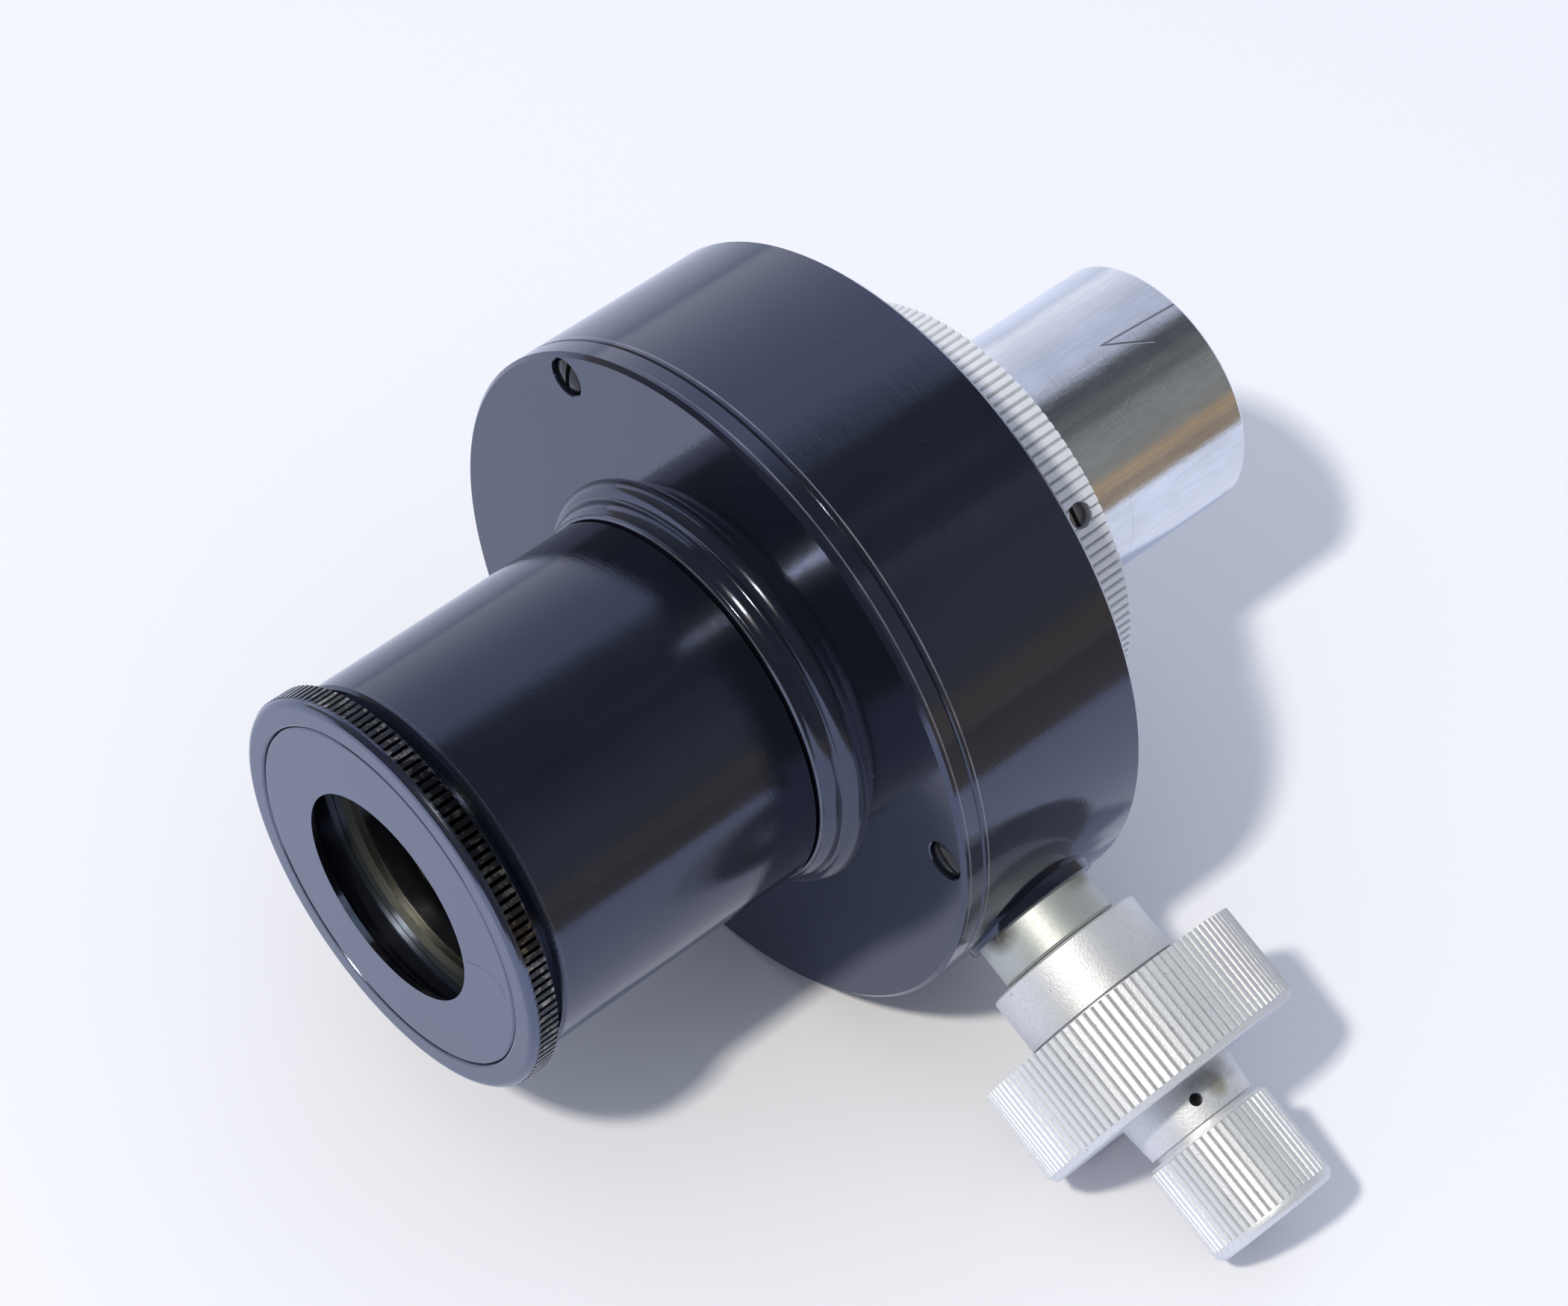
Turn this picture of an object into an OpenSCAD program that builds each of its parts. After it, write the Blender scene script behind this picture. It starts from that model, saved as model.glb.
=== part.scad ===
// Micrometer eyepiece: a drum-shaped housing with an eye barrel in front, a slip-in tube
// behind, and a screw on one side that moves a hairline across the field.
// Each sub-part is drawn about the optical axis (Z, eye end low) and the screw axis (X),
// then laid down as it rests: on the housing's wall and on the rim of the knurled wheel.

/* [Slip-in tube] */
// outer diameter of the tube that goes into the microscope
tube_d = 23.2; // [23.2:0.1:30.5]
// wall thickness of the tube
tube_wall = 1.2; // [0.8:0.1:1.6]
// length of the tube behind the knurled ring
tube_l = 21.9; // [16:0.1:40]
// bevel at the end of the tube
tube_bevel = 0.3; // [0.1:0.1:0.6]
// how far the tube's hub stands out inside the knurled ring
hub_wall = 1.4; // [1.2:0.1:2]
// how far the tube's journal stands out under its retaining ring
journal_wall = 0.4; // [0.3:0.1:0.8]

/* [Housing] */
// thickness of the drum's wall
wall_t = 4.9; // [4.4:0.1:6]
// room inside the drum round the carriage at the end of its travel
cavity_room = 4.14; // [3.6:0.1:5]
// thickness of the rear wall
rear_wall = 3.0; // [2.8:0.1:4]
// distance from the drum's front edge to the screw axis
axis_back = 8.2; // [8.2:0.1:8.6]
// bevel on the drum's rear edge
body_bevel = 0.4; // [0.2:0.1:0.8]
// diameter of the short neck on the rear wall
rear_neck_d = 33; // [31:0.5:36]
// height of that neck
rear_neck_h = 1.0; // [0.6:0.1:1.4]
// depth of the recess in the rear wall that holds the tube's retaining ring
retain_l = 1.7; // [1.5:0.1:1.8]
// width of the boss's flat round the bush
boss_rim = 0.7; // [0.5:0.1:1]
// height of the boss's flat over the drum
boss_h = 0.4; // [0.2:0.1:1.2]
// radius of the hollow fillet round the boss
boss_fillet = 2.4; // [1.6:0.1:2.8]

/* [Front cover] */
// thickness of the cover
cover_t = 2.2; // [2:0.1:3]
// length of its spigot inside the drum
cover_spigot = 1.4; // [1:0.1:1.6]
// bevel on the cover's front edge
cover_bevel = 0.35; // [0.2:0.05:0.6]
// fine bevel on both sides of the joint between cover and drum
joint_bevel = 0.14; // [0.08:0.02:0.25]
// distance of a cover screw from the drum's edge
screw_inset = 2.2; // [2:0.1:2.6]
// number of cover screws
screw_n = 3; // [3:1:4]
// angle of the first cover screw
screw_turn = 29.1; // [25:0.1:35]
// head diameter of a cover screw
screw_head_d = 3.2; // [2.4:0.1:3.4]
// head height of a cover screw
screw_head_h = 1.2; // [0.8:0.1:1.3]
// shank diameter of a cover screw
screw_d = 1.8; // [1.4:0.1:2]
// length of a cover screw under the head
screw_l = 5.6; // [4:0.1:6]

/* [Barrel] */
// wall of the barrel round the eye ring's skirt
barrel_wall = 1.35; // [1.2:0.05:1.8]
// length of the barrel in front of its collar
barrel_l = 26.1; // [26:0.1:30]
// wall of the screwed spigot at its rear
spigot_wall = 1.5; // [1.3:0.1:2]
// depth of the front counterbore
skirt_bore_l = 7.85; // [7.8:0.05:8.6]
// width of the slot that keeps the lens cell from turning
key_slot_w = 2.0; // [2:0.1:2.6]

/* [Collar] */
// height of the stepped collar under the barrel
collar_h = 3.25; // [2.9:0.05:3.4]
// width of its outer bead
collar_w1 = 1.9; // [1.5:0.1:2.8]
// height of its outer bead
collar_h1 = 2.1; // [1.2:0.1:2.1]
// width of its inner bead
collar_w2 = 1.55; // [1.3:0.05:2]
// height of its inner bead, measured from the cover
collar_h2 = 3.0; // [2.2:0.1:3.1]
// how far its narrow step stands out from the barrel
collar_w3 = 0.3; // [0.2:0.05:0.6]

/* [Eye ring] */
// how far the knurled flange stands out from the barrel
eye_out = 1.0; // [0.7:0.1:1.6]
// length of the knurled flange
eye_l = 2.6; // [2.4:0.1:3.4]
// gap between the flange and the barrel
eye_gap = 1.3; // [1.2:0.1:1.6]
// number of flutes round the flange
eye_flutes = 142; // [100:2:160]
// depth of a flute
eye_flute = 0.3; // [0.15:0.05:0.4]
// rounding of the flange's front edge
eye_round = 0.7; // [0.4:0.05:0.9]
// length of the skirt inside the barrel
eye_skirt = 6.75; // [6.6:0.05:6.8]
// width of the rim round the disc in the face
eye_rim = 2.35; // [1.8:0.05:2.8]
// thickness of that disc
disc_t = 0.8; // [0.6:0.1:0.9]
// rounding of the disc's edge
disc_round = 0.3; // [0.1:0.05:0.4]
// width of the disc, from its edge to the aperture
disc_w = 6.0; // [5.4:0.1:7]
// wall of the skirt
skirt_wall = 1.35; // [1.2:0.05:1.6]

/* [Lens cell] */
// thickness of the screwed ring that keeps the cell in the barrel
cell_ring_t = 1.5; // [1.2:0.1:1.6]
// thickness of the screwed ring that keeps the lenses in the cell
lens_ring_t = 1.6; // [1.5:0.1:2]
// width of that ring
lens_ring_w = 1.4; // [1.2:0.1:1.6]
// distance of the cell's key from its rear end
key_back = 6.5; // [6.3:0.1:6.7]
// diameter of the lenses
lens_d = 23.9; // [23.6:0.1:24]
// edge thickness of the eye lens
eye_lens_t = 2.4; // [2:0.1:3]
// edge thickness of the field lens
field_lens_t = 2.2; // [1.8:0.1:2.8]
// radius of the curved faces of the lenses
lens_curve = 31; // [30:0.5:50]
// length of the lens cell
cell_l = 21.8; // [21.4:0.1:22.4]
// wall of the lens cell round the lenses
cell_wall = 0.95; // [0.8:0.05:1.2]
// how far the lens cell's flange stands out
cell_flange_w = 1.1; // [0.9:0.05:1.3]
// flange thickness of the lens cell
cell_flange_t = 2.1; // [1.8:0.1:2.2]
// lead of the focusing thread, for one turn
focus_lead = 6.0; // [6:1:6]

/* [Reticle and field stop] */
// thickness of the field stop
stop_t = 1.4; // [1.2:0.1:1.6]
// diameter of the field stop's opening
field_d = 12; // [8:0.5:13]
// diameter of the fixed reticle glass
reticle_d = 19; // [18.4:0.1:19]
// thickness of the fixed reticle glass
reticle_t = 1.5; // [1.2:0.1:1.5]

/* [Carriage] */
// travel of the carriage to each side
travel = 4; // [3:0.5:4]
// how much closer the carriage's window is than the lenses' edge
window_step = 2.45; // [2.2:0.05:3.2]
// seat of the hairline glass round the window
hair_seat = 0.7; // [0.5:0.1:0.9]
// wall of the carriage beside the glass
side_wall = 1.05; // [0.9:0.05:1.3]
// wall of the carriage at its ends
end_wall = 2.3; // [2:0.1:3]
// how far the carriage's tongue stands out
tongue_w = 2.15; // [1.8:0.05:2.4]
// thickness of the tongue
tongue_t = 2.65; // [2.2:0.05:3]
// how far the carriage reaches behind the screw axis
carriage_back = 4.25; // [4:0.05:4.8]
// how far it reaches in front of the screw axis
carriage_front = 3.0; // [2.8:0.1:3.3]
// thickness of the bed that the rails stand on
bed_t = 1.9; // [1.6:0.1:2.4]
// how far the rails run past the carriage
rail_over = 3.5; // [2.5:0.1:3.8]
// length of the screws that hold the bed
bed_screw_l = 4.0; // [3.5:0.1:4.4]
// diameter of their heads
bed_screw_head = 3.0; // [2.8:0.1:3.2]
// length of the screws that hold the keeper strips
strip_screw_l = 3.4; // [3:0.1:3.8]
// thickness of the moving hairline glass
hair_t = 1.2; // [1:0.1:1.2]
// width of a side rail
rail_w = 2.75; // [2.4:0.05:2.8]
// thickness of a keeper strip
strip_t = 1.4; // [1.2:0.1:1.6]

/* [Screw and wheel] */
// diameter of the spindle's thread
thread_d = 3.0; // [2.6:0.1:3]
// lead of the spindle's thread, for one turn
thread_lead = 1.0; // [0.5:0.5:1]
// length of the carriage's nut outside the carriage
nut_l = 4.9; // [4:0.1:5]
// diameter of the spindle under the wheel
stem_d = 4.4; // [4:0.1:4.5]
// diameter of the bright bush on the boss
bush_d = 10.8; // [10:0.1:11.4]
// how far the thrust collar stands out from the spindle
thrust_w = 2.2; // [1.8:0.1:2.6]
// thickness of the thrust collar
thrust_t = 1.6; // [1.2:0.1:2]
// how far the bush reaches into the drum
bush_in = 1.4; // [1:0.1:1.8]
// length of the bush outside the boss
bush_l = 3.7; // [2.8:0.1:4.2]
// diameter of the plain sleeve
sleeve_d = 14.2; // [13:0.1:15]
// length of the plain sleeve
sleeve_l = 5.3; // [4:0.1:7]
// width of the undercut between sleeve and wheel
undercut_w = 0.5; // [0.3:0.1:0.7]
// outer diameter of the knurled wheel
wheel_d = 24.9; // [22:0.1:27]
// length of the knurled wheel
wheel_l = 8.8; // [7:0.1:10]
// width of the wheel's smooth outer rim
wheel_rim = 0.6; // [0.4:0.1:0.9]
// number of flutes round the wheel
wheel_flutes = 100; // [80:2:120]
// depth of a flute on the wheel
wheel_flute = 0.3; // [0.15:0.05:0.4]

/* [Knob] */
// diameter of the neck at the wheel
neck_d1 = 10.8; // [10:0.1:12]
// diameter of the neck at the knob
neck_d2 = 10.1; // [9.5:0.1:11]
// length of the neck
neck_l = 3.5; // [3.2:0.1:4]
// width of the groove between neck and knob
neck_groove = 0.5; // [0.3:0.1:0.7]
// diameter of the knob
knob_d = 11.8; // [11:0.1:13]
// length of the knob
knob_l = 9.2; // [7:0.1:11]
// number of flutes round the knob
knob_flutes = 52; // [36:2:60]
// depth of a flute on the knob
knob_flute = 0.25; // [0.15:0.05:0.35]

/* [Knurled ring] */
// outer diameter of the ring behind the drum
ring_d = 39.5; // [38:0.1:42]
// length of that ring
ring_l = 8.6; // [8:0.1:9.2]
// number of flutes round the ring
ring_flutes = 142; // [120:2:170]
// depth of a flute on the ring
ring_flute = 0.3; // [0.15:0.05:0.4]
// diameter of its set screw
ring_screw_d = 2.2; // [1.8:0.1:2.4]
// distance of the set screw from the ring's rear face
ring_screw_z = 2.4; // [2:0.1:3.2]
// angle of the set screw round the ring
ring_screw_turn = 63.5; // [50:0.5:80]

/* [Fits] */
// radial clearance of running fits
run_gap = 0.05; // [0.02:0.01:0.08]
// radial clearance of fixed fits
fix_gap = 0.02; // [0.01:0.01:0.03]
// axial play of running shoulders
end_play = 0.05; // [0.02:0.01:0.1]

/* [Hidden] */
$fn = 96;
e = 0.01;
// lenses in their cell, cell in the barrel, barrel in the collar
guide_d = lens_d + 2 * (cell_wall + run_gap);
cell_flange_d = guide_d - 2 * run_gap + 2 * cell_flange_w;
skirt_bore_d = cell_flange_d + 2 * (skirt_wall + 2 * run_gap);
barrel_d = skirt_bore_d + 2 * barrel_wall;
spigot_d = guide_d + 2 * spigot_wall;
collar_d3 = barrel_d + 2 * collar_w3;
collar_d2 = collar_d3 + 2 * collar_w2;
collar_d1 = collar_d2 + 2 * collar_w1;
eye_d = barrel_d + 2 * eye_out;
disc_d = eye_d - 2 * eye_rim;
aperture_d = disc_d - 2 * disc_w;
// carriage, then the drum round it
window_d = lens_d - 2 * window_step;
hair_d = window_d + 2 * hair_seat;
carriage_hw = hair_d / 2 + side_wall;
carriage_hl = hair_d / 2 + end_wall;
tongue_hw = carriage_hw + tongue_w;
rail_hl = carriage_hl + rail_over;
cavity_d = 2 * (sqrt(pow(carriage_hl + travel, 2) + pow(tongue_hw, 2)) + cavity_room);
body_d = cavity_d + 2 * wall_t;
screw_circle = body_d - 2 * screw_inset;
screw_hole_r = screw_head_d / 2 + 0.1;
boss_r = bush_d / 2 + boss_rim;
boss_x = body_d / 2 + boss_h;
hub_d = tube_d + 2 * hub_wall;
tube_journal_d = tube_d + 2 * journal_wall;
recess_d = hub_d + 3.2;
// spindle: thread, neck, journal, stem
journal_d = stem_d + 0.6;
thread_r = thread_d / 2;
nut_r = thread_r + 0.7;
nut_head_r = nut_r + 0.7;
spindle_neck_r = thread_r + 0.3;
shank_r = bush_d / 2 - 0.9;
x_in = cavity_d / 2 - bush_in;
x_nut = hair_d / 2 + 0.3;
x_nut_end = carriage_hl + nut_l;
x_thread = x_nut - 2.3;
// stations along the optical axis
z_joint = -axis_back;
z_cover = z_joint - cover_t;
z_wall = carriage_back + run_gap + bed_t;
z_rear = z_wall + rear_wall;
z_neck = z_rear + rear_neck_h;
z_ring = z_neck + 0.2;
z_seat = z_ring + ring_l - 0.1;
z_collar = z_cover - collar_h;
z_barrel = z_collar - barrel_l;
z_flange = z_barrel - eye_gap;
z_face = z_flange - eye_l;
z_skirt_bore = z_barrel + skirt_bore_l;
z_skirt = z_flange + eye_gap + eye_skirt;
z_shoulder = z_face + 4.3;
z_cell = z_shoulder + end_play;
z_cell_end = z_cell + cell_l;
z_bed = z_wall - bed_t;
// carriage stack, from the bed forward
z_tongue = z_bed - run_gap;
z_tongue_top = z_tongue - tongue_t;
z_strip = z_tongue_top - run_gap;
z_strip_top = z_strip - strip_t;
z_carriage = -carriage_front;
z_mount_end = z_carriage - 0.3;
// rest angle: wall and wheel rim both touch the table
x_gap = boss_x + bush_l;
x_sleeve = x_gap + end_play;
x_wheel = x_sleeve + sleeve_l + undercut_w;
x_wheel_end = x_wheel + wheel_l;
x_knob = x_wheel_end + neck_l + neck_groove;
x_knob_end = x_knob + knob_l;
rim_x = x_wheel_end - wheel_rim;
tilt = asin((body_d / 2) / sqrt(rim_x * rim_x + wheel_d * wheel_d / 4)) - atan((wheel_d / 2) / rim_x);

module place() { rotate([0, tilt, 0]) rotate([-90, 0, 0]) translate([0, 0, -z_seat]) children(); }
// a cylinder or a revolved profile along the screw axis, from x0
module along_x(x0) { translate([x0, 0, 0]) rotate([0, 90, 0]) children(); }
module tube_z(z0, z1, r1, r0) {
    translate([0, 0, z0]) difference() {
        cylinder(h = z1 - z0, r = r1);
        translate([0, 0, -1]) cylinder(h = z1 - z0 + 2, r = r0);
    }
}
// points along an ellipse's arc about [x, y], for a revolved profile
function bow(x, y, rx, ry, a0, a1, n = 6) =
    [for (i = [0 : n]) let (a = a0 + (a1 - a0) * i / n) [x + rx * cos(a), y + ry * sin(a)]];
// straight knurl: broad flat lands with narrow vee grooves
module fluted(r, depth, n, h) {
    step = 360 / n;
    linear_extrude(height = h) polygon([for (i = [0 : n - 1], k = [0 : 2])
        let (a = i * step + [0, 0.22, 0.78][k] * step, rr = k == 0 ? r - depth : r)
        [rr * cos(a), rr * sin(a)]]);
}
// a slotted screw along Z: head forward (to -Z), flat or domed, shank backward
module slotted(head_r, head_h, shank_r, shank_l, slot_w, slot_d, dome = 0) {
    difference() {
        union() {
            if (dome > 0) rotate_extrude($fn = 48) polygon(concat([[0, 0], [head_r, 0]],
                bow(0, dome - head_h, head_r, dome, 0, -90)));
            else translate([0, 0, -head_h]) cylinder(h = head_h, r = head_r, $fn = 32);
            translate([0, 0, -e]) cylinder(h = shank_l + e, r = shank_r, $fn = 32);
        }
        translate([-head_r - 1, -slot_w / 2, -head_h - 1]) cube([2 * head_r + 2, slot_w, slot_d + 1]);
    }
}
module cover_screw_at() { for (i = [0 : screw_n - 1]) rotate([0, 0, -screw_turn - i * 360 / screw_n])
    translate([screw_circle / 2, 0, 0]) children(); }

module housing() {
    color([0.06, 0.06, 0.07]) place() difference() {
        union() {
            rotate_extrude(convexity = 6) polygon([
                [cavity_d / 2, z_joint], [body_d / 2 - joint_bevel, z_joint],
                [body_d / 2, z_joint + joint_bevel], [body_d / 2, z_rear - body_bevel],
                [body_d / 2 - body_bevel, z_rear], [rear_neck_d / 2, z_rear],
                [rear_neck_d / 2, z_neck], [tube_journal_d / 2 + run_gap, z_neck],
                [tube_journal_d / 2 + run_gap, z_wall + retain_l], [recess_d / 2, z_wall + retain_l],
                [recess_d / 2, z_wall], [cavity_d / 2, z_wall]]);
            side_boss();
        }
        along_x(x_in - 4) cylinder(h = boss_x - x_in + 8, r = shank_r + fix_gap, $fn = 64);
        cover_screw_at() translate([0, 0, z_joint - 1])
            cylinder(h = screw_l + 1, r = screw_d / 2 + fix_gap, $fn = 32);
        bed_screw_at() translate([0, 0, z_bed]) cylinder(h = 4.3, r = 0.9 + fix_gap, $fn = 32);
    }
}
// the boss swells out of the wall through a hollow fillet
module side_boss() {
    intersection() {
        rotate([0, 90, 0]) difference() {
            translate([0, 0, boss_x - 4.7]) cylinder(h = 4.7, r = boss_r + boss_fillet, $fn = 96);
            rotate_extrude($fn = 96) translate([boss_r + boss_fillet, boss_x])
                circle(r = boss_fillet, $fn = 64);
        }
        translate([0, -boss_x, z_joint + joint_bevel])
            cube([2 * boss_x, 2 * boss_x, z_rear - z_joint - joint_bevel - body_bevel]);
    }
}
module front_cover() {
    color([0.08, 0.08, 0.1]) place() difference() {
        rotate_extrude(convexity = 6) polygon([
            [spigot_d / 2 + fix_gap, z_cover], [body_d / 2 - cover_bevel, z_cover],
            [body_d / 2, z_cover + cover_bevel], [body_d / 2, z_joint - joint_bevel],
            [body_d / 2 - joint_bevel, z_joint], [cavity_d / 2 - fix_gap, z_joint],
            [cavity_d / 2 - fix_gap, z_joint + cover_spigot],
            [spigot_d / 2 + fix_gap, z_joint + cover_spigot]]);
        cover_screw_at() {
            translate([0, 0, z_cover - 1])
                cylinder(h = screw_head_h + 1.1, r = screw_hole_r, $fn = 32);
            translate([0, 0, z_cover - 0.1])
                cylinder(h = 0.2, r1 = screw_hole_r + 0.2, r2 = screw_hole_r, $fn = 32);
            translate([0, 0, z_cover]) cylinder(h = cover_t + 1, r = screw_d / 2 + 0.1, $fn = 32);
        }
    }
}
module cover_screws() {
    color([0.03, 0.03, 0.035]) place() cover_screw_at() rotate([0, 0, 40])
        translate([0, 0, z_cover + screw_head_h + 0.1])
        slotted(screw_head_d / 2, screw_head_h, screw_d / 2, screw_l, 0.45, 0.7, 0.4);
}
module barrel() {
    color([0.06, 0.06, 0.07]) place() difference() {
        rotate_extrude(convexity = 6) polygon([
            [skirt_bore_d / 2, z_barrel], [barrel_d / 2 - 0.25, z_barrel],
            [barrel_d / 2, z_barrel + 0.25], [barrel_d / 2, z_collar],
            [spigot_d / 2, z_collar], [spigot_d / 2, z_joint + 0.1],
            [guide_d / 2, z_joint + 0.1], [guide_d / 2, z_skirt_bore], [skirt_bore_d / 2, z_skirt_bore]]);
        translate([guide_d / 2 - 1, -key_slot_w / 2, z_key - 4 - 1.2]) cube([2.45, key_slot_w, 7.4]);
    }
}
// two rounded beads, one behind the other, and a hollow foot on the cover
module barrel_collar() {
    rise1 = 0.45 * collar_h1;
    rise2 = 0.8 * (collar_h2 - collar_h1);
    foot = 0.5 * collar_h1;
    color([0.07, 0.07, 0.08]) place() rotate_extrude(convexity = 6) polygon(concat(
        [[spigot_d / 2 + fix_gap, z_cover], [spigot_d / 2 + fix_gap, z_collar],
        [collar_d3 / 2 - 0.12, z_collar], [collar_d3 / 2, z_collar + 0.12],
        [collar_d3 / 2, z_cover - collar_h2 + rise2 / 2]],
        bow((collar_d2 - collar_w2) / 2, z_cover - collar_h2 + rise2, collar_w2 / 2, rise2, -150, 0),
        [[collar_d2 / 2, z_cover - collar_h1 + rise1 / 2]],
        bow((collar_d1 - collar_w1) / 2, z_cover - collar_h1 + rise1, collar_w1 / 2, rise1, -150, 0),
        bow(collar_d1 / 2 + foot, z_cover - foot, foot, foot, 180, 108),
        [[collar_d1 / 2 + foot * (1 + cos(108)), z_cover]]));
}
module eye_ring() {
    z_knurl = z_face + eye_round - 0.1;
    eye_core_r = eye_d / 2 - eye_flute - 0.05;
    color([0.05, 0.05, 0.06]) place() difference() {
        union() {
            translate([0, 0, z_knurl]) fluted(eye_d / 2, eye_flute, eye_flutes, z_flange - 0.15 - z_knurl);
            rotate_extrude(convexity = 6) polygon(concat([[0, z_face]],
                bow(eye_d / 2 - 0.05 - eye_round, z_face + eye_round, eye_round, eye_round, -90, 0),
                [[eye_d / 2 - 0.05, z_knurl + 0.15], [eye_core_r, z_knurl + 0.15],
                [eye_core_r, z_flange - 0.15], [eye_core_r - 0.2, z_flange],
                [skirt_bore_d / 2 - run_gap, z_flange],
                [skirt_bore_d / 2 - run_gap, z_skirt], [0, z_skirt]]));
        }
        rotate_extrude(convexity = 6) polygon([[0, z_face - 1], [disc_d / 2 + 0.22, z_face - 1],
            [disc_d / 2 + 0.22, z_face], [disc_d / 2 + 0.07, z_face + 0.07],
            [disc_d / 2, z_face + 0.22],
            [disc_d / 2, z_face + disc_t], [aperture_d / 2 + 1.5, z_face + disc_t],
            [aperture_d / 2 + 1.5, z_face + 1.6], [cell_flange_d / 2 - 1.3, z_face + 1.6],
            [cell_flange_d / 2 - 1.3, z_shoulder], [cell_flange_d / 2 + run_gap, z_shoulder],
            [cell_flange_d / 2 + run_gap, z_skirt + 1], [0, z_skirt + 1]]);
    }
}
module eye_disc() {
    color([0.1, 0.1, 0.12]) place() rotate_extrude(convexity = 6) polygon(concat(
        [[aperture_d / 2, z_face + 0.05]],
        bow(disc_d / 2 - fix_gap - disc_round, z_face + 0.05 + disc_round, disc_round, disc_round, -90, 0),
        [[disc_d / 2 - fix_gap, z_face + disc_t], [aperture_d / 2 + 0.5, z_face + disc_t]]));
}
module cell_retainer() {
    color([0.05, 0.05, 0.06]) place()
        tube_z(z_cell + cell_flange_t + end_play, z_cell + cell_flange_t + end_play + cell_ring_t,
            cell_flange_d / 2 + run_gap - fix_gap, guide_d / 2 + 0.05);
}
z_key = z_cell_end - key_back;
module lens_cell() {
    r0 = lens_d / 2 + fix_gap;
    color([0.32, 0.33, 0.3]) place() difference() {
        rotate_extrude(convexity = 6) polygon([
            [lens_d / 2 - 0.45, z_cell], [cell_flange_d / 2, z_cell],
            [cell_flange_d / 2, z_cell + cell_flange_t], [guide_d / 2 - run_gap, z_cell + cell_flange_t],
            [guide_d / 2 - run_gap, z_cell_end], [r0, z_cell_end],
            [r0, z_cell + 0.7], [lens_d / 2 - 0.45, z_cell + 0.7]]);
        translate([0, 0, z_key]) rotate([0, 90, 0]) cylinder(h = 20, r = 0.9 + fix_gap, $fn = 32);
    }
}
// plano-convex lens, edge from z0, bulging towards +Z (up = 1) or -Z (up = 0)
module lens(z0, t, up) {
    r = lens_d / 2;
    sag = lens_curve - sqrt(lens_curve * lens_curve - r * r);
    difference() {
        translate([0, 0, up == 1 ? z0 : z0 - sag]) cylinder(h = t + sag, r = r);
        rotate_extrude() difference() {
            translate([0, up == 1 ? z0 + t / 2 : z0 - sag - 1]) square([r + 1, t / 2 + sag + 1]);
            translate([0, up == 1 ? z0 + t + sag - lens_curve : z0 - sag + lens_curve])
                intersection() {
                    circle(r = lens_curve, $fn = 180);
                    translate([0, -100]) square([100, 200]);
                }
        }
    }
}
z_eye_lens = z_cell + 0.7;
// height of a lens's curved face above its edge, where the spacer's bore meets it
edge_rise = sqrt(pow(lens_curve, 2) - pow(lens_d / 2 - 0.6, 2))
    - sqrt(pow(lens_curve, 2) - pow(lens_d / 2, 2)) + fix_gap;
z_spacer = z_eye_lens + eye_lens_t + edge_rise;
z_retainer = z_cell_end - lens_ring_t;
z_field_lens = z_retainer - field_lens_t;
module eye_lens() { color([0.75, 0.82, 0.8, 0.4]) place() lens(z_eye_lens, eye_lens_t, 1); }
module field_lens() { color([0.75, 0.82, 0.8, 0.4]) place() lens(z_field_lens, field_lens_t, 0); }
module lens_spacer() {
    color([0.05, 0.05, 0.06]) place() tube_z(z_spacer, z_field_lens - edge_rise, lens_d / 2,
        lens_d / 2 - 0.6);
}
module lens_retainer() {
    color([0.05, 0.05, 0.06]) place() tube_z(z_retainer, z_cell_end, lens_d / 2, lens_d / 2 - lens_ring_w);
}
module cell_key() {
    color([0.6, 0.5, 0.25]) place() translate([0, 0, z_key]) rotate([0, 90, 0])
        translate([0, 0, lens_d / 2 + 0.1]) cylinder(h = guide_d / 2 + 1.2 - lens_d / 2, r = 0.9, $fn = 32);
}
module reticle_mount() {
    r0 = reticle_d / 2 + fix_gap;
    color([0.05, 0.05, 0.06]) place() rotate_extrude(convexity = 6) polygon([
        [r0, z_joint + 0.2], [spigot_d / 2, z_joint + 0.2], [spigot_d / 2, z_joint + cover_spigot],
        [spigot_d / 2 + 2.55, z_joint + cover_spigot], [spigot_d / 2 + 2.55, z_joint + cover_spigot + 1.2],
        [r0 + 2.48, z_joint + cover_spigot + 1.2], [r0 + 2.48, z_mount_end],
        [r0 - 0.9, z_mount_end], [r0 - 0.9, z_mount_end - 0.3], [r0, z_mount_end - 0.3]]);
}
module reticle_plate() {
    color([0.75, 0.82, 0.8, 0.4]) place() translate([0, 0, z_mount_end - 0.3 - reticle_t])
        cylinder(h = reticle_t, r = reticle_d / 2);
}
module field_stop() {
    z1 = z_mount_end - 0.3 - reticle_t;
    color([0.05, 0.05, 0.06]) place() rotate_extrude(convexity = 6) polygon([
        [field_d / 2, z1], [reticle_d / 2, z1],
        [reticle_d / 2, z1 - stop_t], [field_d / 2 + 1.2, z1 - stop_t]]);
}
module bed_screw_at() {
    for (sx = [-1, 1], sy = [-1, 1])
        translate([sx * rail_hl / 2, sy * (tongue_hw + run_gap + rail_w + 3.3), 0]) children();
}
module strip_screw_at() {
    for (sx = [-1, 1], sy = [-1, 1])
        translate([sx * (rail_hl - 4), sy * (tongue_hw + run_gap + rail_w / 2), 0]) children();
}
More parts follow.
